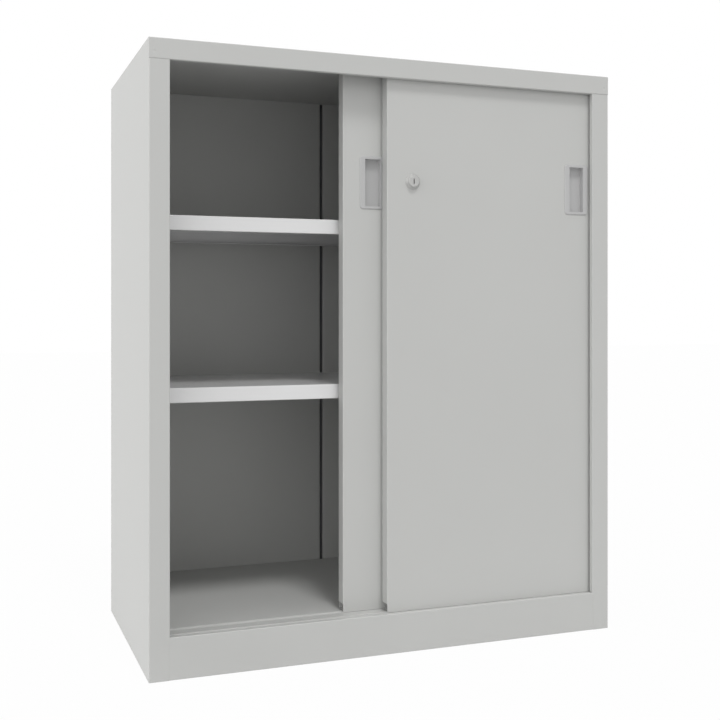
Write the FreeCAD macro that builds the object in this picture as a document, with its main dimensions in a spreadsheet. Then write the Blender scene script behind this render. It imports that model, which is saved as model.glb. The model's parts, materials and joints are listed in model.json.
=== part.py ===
import FreeCAD, Part
import os
import Sketcher

# Steel cupboard with two sliding doors, two adjustable shelves and a push lock.
# Origin: middle of the footprint, on the floor. +X to the right, +Y to the back, +Z up. Millimetres.

doc = FreeCAD.newDocument("SlidingDoorCupboard")
sheet = doc.addObject("Spreadsheet::Sheet", "Sizes")

sizes = {
    # outer size and the folded steel
    "width": 914,
    "depth": 457,
    "height": 1097,
    "steel": 1.0,
    "bend": 0.6,
    "hem_bend": 0.4,
    "seam": 0.3,
    "weld_seam": 0.06,
    # front frame
    "stile_width": 36.2,
    "stile_return": 9.5,
    "lip_height": 36,
    "lip_seam": 0.15,
    "rail_height": 73.4,
    "rail_hem": 3.0,
    "rail_hem_drop": 14,
    "rail_tongue_reach": 12,
    "rail_tongue_inset": 8,
    "foot_flange": 15,
    # flanges hidden at the back and under the sheets
    "rear_flange": 20,
    "flange_drop": 18,
    "back_recess": 7,
    "back_joint_gap": 7,
    "back_joint_offset": 9.5,
    "cover_strip_width": 38,
    # floor and head tracks
    "trough_depth": 1.6,
    "trough_width": 47.3,
    "bead_width": 3.0,
    "bead_round": 0.8,
    "head_track_width": 10,
    "head_track_height": 16,
    # doors
    "door_setback": 14,
    "door_thickness": 24.5,
    "door_gap": 4.5,
    "door_overlap": 27.2,
    "door_steel": 0.8,
    "door_bend": 1.6,
    "door_floor_gap": 2.6,
    "door_skirt_gap": 0.5,
    "door_head_gap": 2.0,
    "door_flange": 14,
    "door_floor_notch": 12,
    "door_head_notch": 5,
    "door_end_lip": 10,
    "rear_door_opened": 361.1,
    "stiffener_width": 36,
    "stiffener_flange": 14,
    "stiffener_depth": 21.9,
    # rubber buffers on the side panels
    "buffer_thickness": 4.5,
    "buffer_width": 16,
    "buffer_length": 30,
    "buffer_height": 560,
    "seat_gap": 0.3,
    # floor rollers
    "roller_radius": 9.0,
    "roller_flange": 1.4,
    "roller_flange_width": 0.7,
    "roller_side_gap": 0.3,
    "roller_inset": 60,
    "roller_setback": 4.0,
    "roller_slot_gap": 2,
    "axle_radius": 2.0,
    "axle_head_radius": 3.4,
    "axle_head": 1.2,
    "running_gap": 0.08,
    "bracket_steel": 1.5,
    "bracket_width": 30,
    "bracket_flange": 20,
    "bracket_clearance": 3.0,
    # head guides
    "guide_length": 22,
    "guide_width": 7.0,
    "guide_rise": 14,
    "guide_foot": 30,
    "guide_foot_width": 14,
    "guide_foot_height": 2.5,
    "guide_inset": 70,
    # flush pulls
    "pull_inset": 59.3,
    "pull_height": 871,
    "pull_width": 52,
    "pull_length": 99,
    "pull_side_rim": 10.5,
    "pull_end_rim": 5.5,
    "pull_proud": 1.8,
    "pull_bevel": 1.2,
    "pull_depth": 10,
    "pull_wall": 1.5,
    "pull_corner": 6.0,
    "pull_mouth_corner": 1.5,
    "pull_floor_round": 1.5,
    # push lock
    "lock_inset": 51.6,
    "lock_height": 872.5,
    "lock_collar_radius": 14.7,
    "lock_collar_front_radius": 11.4,
    "lock_collar": 5.2,
    "lock_collar_edge": 0.5,
    "lock_barrel_radius": 12,
    "lock_barrel_length": 20,
    "lock_end_wall": 1.5,
    "lock_button_radius": 10.5,
    "lock_button_proud": 7.5,
    "lock_button_length": 15.5,
    "lock_button_chamfer": 0.8,
    "lock_bolt_radius": 4.0,
    "lock_bolt_length": 12.9,
    "lock_plug_radius": 5.8,
    "lock_plug_length": 13,
    "keyway_length": 9.5,
    "keyway_width": 2.0,
    "keyway_depth": 8,
    "lock_nut_size": 30,
    "lock_nut_thickness": 4,
    "spring_radius": 7.0,
    "spring_wire": 0.5,
    "spring_turns": 3,
    # keeper on the rear door that the bolt drops in beside
    "keeper_steel": 1.5,
    "keeper_gap": 1.0,
    "keeper_lap": 9,
    "keeper_lip": 3.8,
    "keeper_height": 24,
    # shelves
    "shelf_end_gap": 1.5,
    "shelf_setback": 75,
    "shelf_rear_gap": 20,
    "shelf_lip": 27,
    "shelf_hem": 10,
    "upper_shelf_height": 802.5,
    "lower_shelf_height": 493.7,
    # slotted uprights and the clips that hook into them
    "upright_width": 25,
    "upright_depth": 6.5,
    "upright_steel": 1.2,
    "upright_bend": 0.6,
    "upright_head_gap": 27,
    "front_upright_setback": 110,
    "rear_upright_inset": 55,
    "slot_steps": 8,
    "slot_steps_below": 8,
    "slot_count": 23,
    "slot_width": 3.4,
    "slot_height": 12,
    "clip_width": 18,
    "clip_steel": 1.5,
    "clip_ledge": 14,
    "clip_drop": 18,
    "clip_tab_width": 2.6,
    "clip_tab_height": 9,
    "clip_tab_length": 4,
}

for row, (alias, number) in enumerate(sizes.items(), start=1):
    sheet.set(f"A{row}", alias.replace("_", " "))
    sheet.set(f"B{row}", str(number))
    sheet.setAlias(f"B{row}", alias)
doc.recompute()

# Places worked out from the sizes. Each is an expression that FreeCAD keeps live.
front = "(-Sizes.depth / 2)"
back = "(Sizes.depth / 2)"
inner_width = "(Sizes.width - 2 * Sizes.steel)"
ceiling = "(Sizes.height - Sizes.steel)"
back_face = f"({back} - Sizes.back_recess)"
stile_top = "(Sizes.height - Sizes.lip_height - Sizes.lip_seam)"
stile_flat = "(Sizes.stile_width - Sizes.steel - Sizes.bend)"
rail_length = f"(Sizes.width - 2 * {stile_flat} - 2 * Sizes.weld_seam)"
trough_floor = "(Sizes.rail_height - Sizes.trough_depth)"
trough_back = f"({front} + Sizes.rail_hem + Sizes.trough_width)"
back_rim = f"({back} - Sizes.steel - Sizes.bend)"
back_joint = "(Sizes.back_joint_offset)"

door_stop = "(Sizes.steel + Sizes.buffer_thickness + Sizes.seat_gap)"
door_width = f"((Sizes.width - 2 * {door_stop} + Sizes.door_overlap) / 2)"
door_bottom = "(Sizes.rail_height + Sizes.door_floor_gap)"
head_track_bottom = f"({ceiling} - Sizes.head_track_height)"
door_top = f"({head_track_bottom} - Sizes.door_head_gap)"
door_height = f"({door_top} - {door_bottom})"
door_skirt = f"({door_bottom} - {trough_floor} - Sizes.door_skirt_gap)"
door_pitch = "(Sizes.door_thickness + Sizes.door_gap)"
front_door_left = f"(Sizes.width / 2 - {door_stop} - {door_width})"
rear_door_left = f"(-Sizes.width / 2 + {door_stop} + Sizes.rear_door_opened)"
front_door_face = f"({front} + Sizes.door_setback)"
rear_door_face = f"({front_door_face} + {door_pitch})"

roller_axis = f"(Sizes.rail_height + Sizes.seat_gap + Sizes.roller_radius - {door_bottom})"
roller_groove = "(Sizes.bead_width + 2 * Sizes.roller_side_gap)"
roller_width = f"({roller_groove} + 2 * Sizes.roller_flange_width)"
roller_outer = "(Sizes.roller_radius + Sizes.roller_flange)"
cheek_front = f"(Sizes.roller_setback + {roller_width} / 2 + Sizes.seat_gap)"
bracket_shelf = f"({roller_axis} + {roller_outer} + Sizes.bracket_clearance)"

pull_mouth_width = "(Sizes.pull_width - 2 * Sizes.pull_side_rim)"
pull_mouth_length = "(Sizes.pull_length - 2 * Sizes.pull_end_rim)"
pull_cup_width = f"({pull_mouth_width} + 2 * Sizes.pull_wall)"
pull_cup_length = f"({pull_mouth_length} + 2 * Sizes.pull_wall)"

shelf_length = f"({inner_width} - 2 * Sizes.upright_depth - 2 * Sizes.shelf_end_gap)"
front_upright_middle = f"({front} + Sizes.front_upright_setback)"
rear_upright_middle = f"({back_face} - Sizes.rear_upright_inset)"
slot_pitch = "((Sizes.upper_shelf_height - Sizes.lower_shelf_height) / Sizes.slot_steps)"
clip_slot_drop = "(Sizes.shelf_lip + Sizes.clip_drop / 2)"
first_slot = f"(Sizes.lower_shelf_height - {clip_slot_drop} - Sizes.slot_steps_below * {slot_pitch})"

axes = {"YZ_Plane": 0, "XZ_Plane": 1, "XY_Plane": 2}
tolerance = 0.001  # how far a found edge may lie from the place that it is looked for at
nodes = []


def value(expression):
    return float(sheet.evalExpression(expression))


def new_body(label):
    body = doc.addObject("PartDesign::Body", label)
    body.Label = label
    return body


def keep(item, label, x="0", y="0", z="0"):
    """Name a finished piece after its node and bind its place to the sizes."""
    item.Label = label
    item.setExpression("Placement.Base.x", x)
    item.setExpression("Placement.Base.y", y)
    item.setExpression("Placement.Base.z", z)
    nodes.append(item)
    return item


def origin_item(body, role):
    return [item for item in body.Origin.OriginFeatures if item.Role == role][0]


def add_sketch(body, plane, start, name):
    """Sketch on an origin plane of the body, moved to start along that plane's world axis."""
    sketch = body.newObject("Sketcher::SketchObject", name)
    sketch.AttachmentSupport = [(origin_item(body, plane), "")]
    sketch.MapMode = "FlatFace"
    sign = "-1" if plane == "XZ_Plane" else "1"
    sketch.setExpression("AttachmentOffset.Base.z", f"{sign} * ({start})")
    return sketch


def bind(sketch, kind, geometry, point, expression):
    number = sketch.addConstraint(Sketcher.Constraint(kind, geometry, point, value(expression)))
    sketch.setExpression(f"Constraints[{number}]", expression)


def draw_outline(sketch, points):
    """Closed outline of straight lines with every corner bound to the sizes."""
    corners = [FreeCAD.Vector(value(u), value(v), 0) for u, v in points]
    base = sketch.GeometryCount
    count = len(points)
    for i in range(count):
        sketch.addGeometry(Part.LineSegment(corners[i], corners[(i + 1) % count]), False)
    for i in range(count):
        sketch.addConstraint(Sketcher.Constraint("Coincident", base + i, 2, base + (i + 1) % count, 1))
    for i, (u, v) in enumerate(points):
        bind(sketch, "DistanceX", base + i, 1, u)
        bind(sketch, "DistanceY", base + i, 1, v)


def draw_circle(sketch, u, v, radius):
    centre = FreeCAD.Vector(value(u), value(v), 0)
    circle = sketch.addGeometry(Part.Circle(centre, FreeCAD.Vector(0, 0, 1), value(radius)), False)
    bind(sketch, "DistanceX", circle, 3, u)
    bind(sketch, "DistanceY", circle, 3, v)
    number = sketch.addConstraint(Sketcher.Constraint("Radius", circle, value(radius)))
    sketch.setExpression(f"Constraints[{number}]", radius)


def rectangle(u0, v0, u1, v1):
    return [(u0, v0), (u1, v0), (u1, v1), (u0, v1)]


def add_pad(body, plane, start, length, points, name, circles=()):
    sketch = add_sketch(body, plane, start, name + "_sketch")
    if points:
        draw_outline(sketch, points)
    for u, v, radius in circles:
        draw_circle(sketch, u, v, radius)
    pad = body.newObject("PartDesign::Pad", name)
    pad.Profile = sketch
    pad.Reversed = plane == "XZ_Plane"
    pad.setExpression("Length", length)
    doc.recompute()
    return pad


def add_pocket(body, plane, start, length, points, name, circles=()):
    """Cut from start over length, and make sure that something was cut."""
    before = body.Shape.Volume
    sketch = add_sketch(body, plane, start, name + "_sketch")
    if points:
        draw_outline(sketch, points)
    for u, v, radius in circles:
        draw_circle(sketch, u, v, radius)
    pocket = body.newObject("PartDesign::Pocket", name)
    pocket.Profile = sketch
    pocket.Reversed = plane != "XZ_Plane"
    pocket.setExpression("Length", length)
    doc.recompute()
    if body.Shape.Volume >= before:
        raise RuntimeError(name + " cuts nothing")
    return pocket


def edges_along(shape, axis, points):
    """Names of the straight edges that run along one world axis through the given points."""
    across = [i for i in range(3) if i != axis]
    found = []
    for number, edge in enumerate(shape.Edges, start=1):
        a, b = edge.Vertexes[0].Point, edge.Vertexes[-1].Point
        if any(abs(a[i] - b[i]) > tolerance for i in across) or abs(a[axis] - b[axis]) < tolerance:
            continue
        if any(abs(a[across[0]] - u) < tolerance and abs(a[across[1]] - v) < tolerance for u, v in points):
            found.append(f"Edge{number}")
    return found


def edges_at(shape, y):
    """Names of the edges that lie in the plane across the Y axis at this place."""
    place = value(y)
    found = []
    for number, edge in enumerate(shape.Edges, start=1):
        box = edge.BoundBox
        if abs(box.YMin - place) < tolerance and abs(box.YMax - place) < tolerance:
            found.append(f"Edge{number}")
    return found


def round_edges(body, edges, radius, name):
    base = body.Tip
    fillet = body.newObject("PartDesign::Fillet", name)
    fillet.Base = (base, edges)
    fillet.setExpression("Radius", radius)
    doc.recompute()
    body.Tip = fillet
    return fillet


def bevel_edges(body, edges, size, name):
    base = body.Tip
    chamfer = body.newObject("PartDesign::Chamfer", name)
    chamfer.Base = (base, edges)
    chamfer.setExpression("Size", size)
    doc.recompute()
    body.Tip = chamfer
    return chamfer


def round_corners(body, plane, points, radius, name):
    """Round the edges that rise from the given corners of a sketch on this plane."""
    places = [(value(u), value(v)) for u, v in points]
    edges = edges_along(body.Shape, axes[plane], places)
    return round_edges(body, edges, radius, name)


def fold(label, plane, start, length, path, inside, steel="Sizes.steel", bend="Sizes.bend"):
    """Folded sheet: path follows one face of the steel, and inside says on which side (1 left, -1
    right) the thickness lies. Each fold gets its inner and outer radius, unless bend is None."""
    numbers = [(value(u), value(v)) for u, v in path]
    runs = []
    for (u0, v0), (u1, v1) in zip(numbers, numbers[1:]):
        length_now = abs(u1 - u0) + abs(v1 - v0)
        runs.append((round((u1 - u0) / length_now), round((v1 - v0) / length_now)))
    offset = []
    for i, (u, v) in enumerate(path):
        touching = runs[max(i - 1, 0):i + 1]
        step_u = sum(-run[1] * inside for run in touching)
        step_v = sum(run[0] * inside for run in touching)
        offset.append((f"{u} + {step_u} * {steel}", f"{v} + {step_v} * {steel}"))
    body = new_body(label)
    add_pad(body, plane, start, length, path + offset[::-1], label + "_sheet")
    tight, wide = [], []
    for i in range(1, len(path) - 1):
        turn = runs[i - 1][0] * runs[i][1] - runs[i - 1][1] * runs[i][0]
        outer, inner = (path[i], offset[i]) if turn == inside else (offset[i], path[i])
        wide.append(outer)
        tight.append(inner)
    if bend:
        round_corners(body, plane, tight, bend, label + "_inner_bends")
        round_corners(body, plane, wide, f"{bend} + {steel}", label + "_outer_bends")
    return body


def copies(label, item, places):
    """One node that holds the same piece several times."""
    links = []
    for number, (x, y, z) in enumerate(places, start=1):
        link = doc.addObject("App::Link", f"{label}_{number}")
        link.LinkedObject = item
        link.setExpression("Placement.Base.x", x)
        link.setExpression("Placement.Base.y", y)
        link.setExpression("Placement.Base.z", z)
        links.append(link)
    group = doc.addObject("Part::Compound", label)
    group.Links = links
    return keep(group, label)


# --- carcass -------------------------------------------------------------------------------------


def side_panel(label, hand):
    """Side wall folded with the front stile, the rear flange and a foot flange. hand is -1 or 1."""
    outer = f"({hand} * Sizes.width / 2)"
    stile_edge = f"({outer} - {hand} * Sizes.stile_width)"
    flange_edge = f"({outer} - {hand} * Sizes.rear_flange)"
    inner = f"({outer} - {hand} * Sizes.steel)"
    path = [
        (stile_edge, f"{front} + Sizes.stile_return"),
        (stile_edge, front),
        (outer, front),
        (outer, back),
        (flange_edge, back),
    ]
    body = fold(label, "XY_Plane", "0", "Sizes.height", path, hand)
    foot = rectangle(
        inner, f"{front} + Sizes.stile_return + Sizes.bend",
        f"{outer} - {hand} * Sizes.foot_flange", f"{back} - Sizes.back_recess - Sizes.bend",
    )
    add_pad(body, "XY_Plane", "0", "Sizes.steel", foot, label + "_foot")
    # the head lip covers the corner, so the stile stops under it
    corner = [
        (f"{outer} + {hand} * Sizes.steel", f"{front} - Sizes.steel"),
        (f"{stile_edge} - {hand} * Sizes.steel", f"{front} - Sizes.steel"),
        (f"{stile_edge} - {hand} * Sizes.steel", f"{front} + Sizes.stile_return + Sizes.steel"),
        (inner, f"{front} + Sizes.stile_return + Sizes.steel"),
        (inner, f"{front} + Sizes.steel"),
        (f"{outer} + {hand} * Sizes.steel", f"{front} + Sizes.steel"),
    ]
    add_pocket(body, "XY_Plane", stile_top, "Sizes.height", corner, label + "_corner")
    # beside the rail the stile has no return, so that the two faces butt
    beside_rail = rectangle(
        f"{outer} - {hand} * {stile_flat}", f"{front} - Sizes.steel",
        f"{stile_edge} - {hand} * Sizes.steel", f"{front} + Sizes.stile_return + Sizes.steel",
    )
    rise = "(Sizes.rail_height + Sizes.weld_seam)"
    add_pocket(body, "XY_Plane", "0", rise, beside_rail, label + "_rail_notch")
    return keep(body, label)


def top_panel():
    """Top with the deep front lip over the stiles and a rear flange between the side flanges."""
    left = "(-Sizes.width / 2)"
    lip_bottom = "(Sizes.height - Sizes.lip_height)"
    path = [
        (f"{front} + Sizes.stile_return", lip_bottom),
        (front, lip_bottom),
        (front, "Sizes.height"),
        (back, "Sizes.height"),
        (back, "Sizes.height - Sizes.flange_drop"),
    ]
    body = fold("top_panel", "YZ_Plane", left, "Sizes.width", path, -1)
    for side, hand in (("left", -1), ("right", 1)):
        outer = f"({hand} * (Sizes.width / 2 + Sizes.steel))"
        inner = f"({hand} * {inner_width} / 2)"
        flange = f"({hand} * (Sizes.width / 2 - Sizes.rear_flange - Sizes.seam))"
        notch = [
            (outer, f"{front} + Sizes.steel"),
            (inner, f"{front} + Sizes.steel"),
            (inner, back_rim),
            (f"{inner} - {hand} * Sizes.bend", f"{back} - Sizes.steel"),
            (flange, f"{back} - Sizes.steel"),
            (flange, f"{back} + Sizes.steel"),
            (outer, f"{back} + Sizes.steel"),
        ]
        under = f"{lip_bottom} - Sizes.steel"
        add_pocket(body, "XY_Plane", under, "Sizes.height", notch, f"top_{side}_notch")
        plate = rectangle(
            f"{rear_door_face} + Sizes.door_thickness + Sizes.bend", f"{ceiling} - Sizes.flange_drop",
            f"{back_face} - Sizes.bend", "Sizes.height",
        )
        start = inner if hand == -1 else f"{inner} - Sizes.steel"
        add_pad(body, "YZ_Plane", start, "Sizes.steel", plate, f"top_{side}_flange")
    return keep(body, "top_panel")


def bottom_deck():
    drop = "(Sizes.rail_height - Sizes.flange_drop)"
    deck_back = f"({back_face} - Sizes.seam)"
    path = [
        (trough_back, drop),
        (trough_back, "Sizes.rail_height"),
        (deck_back, "Sizes.rail_height"),
        (deck_back, drop),
    ]
    body = fold("bottom_deck", "YZ_Plane", f"-{inner_width} / 2", inner_width, path, -1)
    plate = rectangle(
        f"{trough_back} + Sizes.bend", drop,
        f"{deck_back} - Sizes.bend", "Sizes.rail_height - Sizes.steel / 2",
    )
    add_pad(body, "YZ_Plane", f"-{inner_width} / 2", "Sizes.steel", plate, "deck_left_flange")
    add_pad(body, "YZ_Plane", f"{inner_width} / 2 - Sizes.steel", "Sizes.steel", plate, "deck_right_flange")
    return keep(body, "bottom_deck")


def front_rail():
    hem_back = f"({front} + Sizes.rail_hem)"
    path = [
        (f"{front} + Sizes.foot_flange", "0"),
        (front, "0"),
        (front, "Sizes.rail_height"),
        (hem_back, "Sizes.rail_height"),
        (hem_back, "Sizes.rail_height - Sizes.rail_hem_drop"),
    ]
    body = fold("front_rail", "YZ_Plane", f"-{rail_length} / 2", rail_length, path, -1, bend="Sizes.hem_bend")
    # a tongue at each end laps behind the stile
    for side, hand in (("left", -1), ("right", 1)):
        tongue = rectangle(
            f"{hand} * ({rail_length} / 2 - Sizes.rail_tongue_reach)", "Sizes.rail_tongue_inset",
            f"{hand} * ({rail_length} / 2 + Sizes.rail_tongue_reach)",
            "Sizes.rail_height - Sizes.rail_hem_drop - Sizes.rail_tongue_inset",
        )
        add_pad(body, "XZ_Plane", f"{front} + Sizes.steel", "Sizes.steel", tongue, f"rail_{side}_tongue")
    return keep(body, "front_rail")


def back_panel(label, hand):
    """Half of the back: a shallow pan whose four edges turn outwards."""
    outer = f"({hand} * {inner_width} / 2)"
    joint = f"({back_joint} + {hand} * Sizes.back_joint_gap / 2)"
    path = [(outer, back_rim), (outer, back_face), (joint, back_face), (joint, back_rim)]
    foot = "(Sizes.steel + Sizes.seam)"
    rise = f"({ceiling} - Sizes.seam - {foot})"
    body = fold(label, "XY_Plane", foot, rise, path, -hand)
    ends = rectangle(
        f"{outer} - {hand} * Sizes.bend", f"{back_face} + Sizes.steel / 2",
        f"{joint} + {hand} * Sizes.bend", back_rim,
    )
    add_pad(body, "XY_Plane", foot, "Sizes.steel", ends, label + "_foot")
    add_pad(body, "XY_Plane", f"{ceiling} - Sizes.seam - Sizes.steel", "Sizes.steel", ends, label + "_head")
    return keep(body, label)


def back_cover_strip():
    """Flat strip welded over the joint of the two back panels."""
    body = new_body("back_cover_strip")
    outline = rectangle(
        f"{back_joint} - Sizes.cover_strip_width / 2", back_rim,
        f"{back_joint} + Sizes.cover_strip_width / 2", f"{back_rim} + Sizes.steel",
    )
    foot = "(Sizes.steel + Sizes.seam)"
    rise = f"(Sizes.height - Sizes.flange_drop - Sizes.seam - {foot})"
    add_pad(body, "XY_Plane", foot, rise, outline, "cover_strip")
    return keep(body, "back_cover_strip")


def floor_track():
    """Trough between rail and deck, with one bead for each door's rollers."""
    skirt = f"({trough_floor} - Sizes.rail_hem_drop + Sizes.trough_depth)"
    path = [
        (f"{front} + Sizes.rail_hem", skirt),
        (f"{front} + Sizes.rail_hem", trough_floor),
        (trough_back, trough_floor),
        (trough_back, skirt),
    ]
    start = f"-{inner_width} / 2"
    body = fold("floor_track", "YZ_Plane", start, inner_width, path, -1, bend="Sizes.hem_bend")
    for name, face in (("front_bead", front_door_face), ("rear_bead", rear_door_face)):
        middle = f"{face} + Sizes.roller_setback"
        sides = (f"{middle} - Sizes.bead_width / 2", f"{middle} + Sizes.bead_width / 2")
        outline = rectangle(sides[0], f"{trough_floor} - Sizes.steel / 2", sides[1], "Sizes.rail_height")
        add_pad(body, "YZ_Plane", start, inner_width, outline, name)
        crest = [(side, "Sizes.rail_height") for side in sides]
        round_corners(body, "YZ_Plane", crest, "Sizes.bead_round", name + "_crest")
    for side, hand in (("left", -1), ("right", 1)):
        notch = rectangle(
            f"{hand} * Sizes.width / 2", front,
            f"{hand} * {rail_length} / 2", f"{front} + Sizes.stile_return + Sizes.seam",
        )
        under = f"{skirt} - Sizes.steel"
        add_pocket(body, "XY_Plane", under, "Sizes.rail_height", notch, f"track_{side}_notch")
    return keep(body, "floor_track")


def head_track(label, face):
    """Channel under the top that the guides of one door run in."""
    middle = f"({face} + Sizes.door_thickness / 2)"
    sides = (f"{middle} - Sizes.head_track_width / 2", f"{middle} + Sizes.head_track_width / 2")
    path = [
        (sides[0], head_track_bottom),
        (sides[0], ceiling),
        (sides[1], ceiling),
        (sides[1], head_track_bottom),
    ]
    start = f"-{inner_width} / 2"
    return keep(fold(label, "YZ_Plane", start, inner_width, path, -1, bend="Sizes.hem_bend"), label)


def buffers(label, hand):
    """Rubber buffers on one side panel, one in the path of each door."""
    pad = doc.addObject("Part::Box", label + "_pad")
    pad.setExpression("Length", "Sizes.buffer_thickness")
    pad.setExpression("Width", "Sizes.buffer_width")
    pad.setExpression("Height", "Sizes.buffer_length")
    x = f"-{inner_width} / 2" if hand == -1 else f"{inner_width} / 2 - Sizes.buffer_thickness"
    inset = "(Sizes.door_thickness / 2 - Sizes.buffer_width / 2)"
    places = [(x, f"{face} + {inset}", "Sizes.buffer_height") for face in (front_door_face, rear_door_face)]
    return copies(label, pad, places)


# --- shelves and what holds them -----------------------------------------------------------------


def upright(label, hand, middle):
    """Slotted upright spot-welded to a side panel."""
    wall = f"({hand} * {inner_width} / 2)"
    web = f"({wall} - {hand} * Sizes.upright_depth)"
    sides = (f"({middle} - Sizes.upright_width / 2)", f"({middle} + Sizes.upright_width / 2)")
    path = [(wall, sides[0]), (web, sides[0]), (web, sides[1]), (wall, sides[1])]
    rise = f"({ceiling} - Sizes.upright_head_gap - Sizes.rail_height)"
    body = fold(
        label, "XY_Plane", "Sizes.rail_height", rise, path, -hand,
        steel="Sizes.upright_steel", bend="Sizes.upright_bend",
    )
    slot = rectangle(
        f"{middle} - Sizes.slot_width / 2", f"{first_slot} - Sizes.slot_height / 2",
        f"{middle} + Sizes.slot_width / 2", f"{first_slot} + Sizes.slot_height / 2",
    )
    start = f"{web} - Sizes.upright_steel"
    pocket = add_pocket(body, "YZ_Plane", start, "2 * Sizes.upright_steel", slot, label + "_slot")
    pattern = body.newObject("PartDesign::LinearPattern", label + "_slots")
    pattern.Originals = [pocket]
    pattern.Direction = (origin_item(body, "Z_Axis"), [""])
    pattern.setExpression("Occurrences", "Sizes.slot_count")
    pattern.setExpression("Length", f"{slot_pitch} * (Sizes.slot_count - 1)")
    body.Tip = pattern
    doc.recompute()
    return keep(body, label)


def shelf(label, top):
    """Shelf tray with hemmed front and rear lips and plain end lips."""
    near = f"({front} + Sizes.shelf_setback)"
    far = f"({back_face} - Sizes.shelf_rear_gap)"
    bottom = f"({top} - Sizes.shelf_lip)"
    path = [
        (f"{near} + Sizes.shelf_hem", bottom),
        (near, bottom),
        (near, top),
        (far, top),
        (far, bottom),
        (f"{far} - Sizes.shelf_hem", bottom),
    ]
    body = fold(label, "YZ_Plane", f"-{shelf_length} / 2", shelf_length, path, -1)
    end = rectangle(
        f"{near} + Sizes.bend + Sizes.steel", bottom,
        f"{far} - Sizes.bend - Sizes.steel", f"{top} - Sizes.steel / 2",
    )
    add_pad(body, "YZ_Plane", f"-{shelf_length} / 2", "Sizes.steel", end, label + "_left_end")
    start = f"{shelf_length} / 2 - Sizes.steel"
    add_pad(body, "YZ_Plane", start, "Sizes.steel", end, label + "_right_end")
    return keep(body, label)


def shelf_clip(label, hand):
    """Clip with a ledge for the shelf's end lip and a tab that hooks into a slot. Its origin is the
    top of the ledge, on the upright's face."""
    body = new_body(label)
    plate = [
        (f"{-hand} * Sizes.clip_ledge", "0"),
        ("0", "0"),
        ("0", "-Sizes.clip_drop"),
        (f"{-hand} * Sizes.clip_steel", "-Sizes.clip_drop"),
        (f"{-hand} * Sizes.clip_steel", "-Sizes.clip_steel"),
        (f"{-hand} * Sizes.clip_ledge", "-Sizes.clip_steel"),
    ]
    add_pad(body, "XZ_Plane", "-Sizes.clip_width / 2", "Sizes.clip_width", plate, label + "_plate")
    tab = rectangle(
        f"{hand} * Sizes.clip_tab_length", "-Sizes.clip_drop / 2 - Sizes.clip_tab_height / 2",
        f"{-hand} * Sizes.clip_steel / 2", "-Sizes.clip_drop / 2 + Sizes.clip_tab_height / 2",
    )
    start = "-Sizes.clip_tab_width / 2"
    add_pad(body, "XZ_Plane", start, "Sizes.clip_tab_width", tab, label + "_tab")
    return body


def shelf_clips(label, clips, top):
    """The four clips under one shelf."""
    pieces = []
    for hand, clip in clips.items():
        places = []
        for middle in (front_upright_middle, rear_upright_middle):
            x = f"{hand} * ({inner_width} / 2 - Sizes.upright_depth)"
            places.append((x, middle, f"{top} - Sizes.shelf_lip"))
        for number, (x, y, z) in enumerate(places):
            link = doc.addObject("App::Link", f"{label}_{clip.Label}_{number}")
            link.LinkedObject = clip
            link.setExpression("Placement.Base.x", x)
            link.setExpression("Placement.Base.y", y)
            link.setExpression("Placement.Base.z", z)
            pieces.append(link)
    group = doc.addObject("Part::Compound", label)
    group.Links = pieces
    return keep(group, label)


# --- doors: modelled from the lower left corner of the face --------------------------------------


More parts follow.
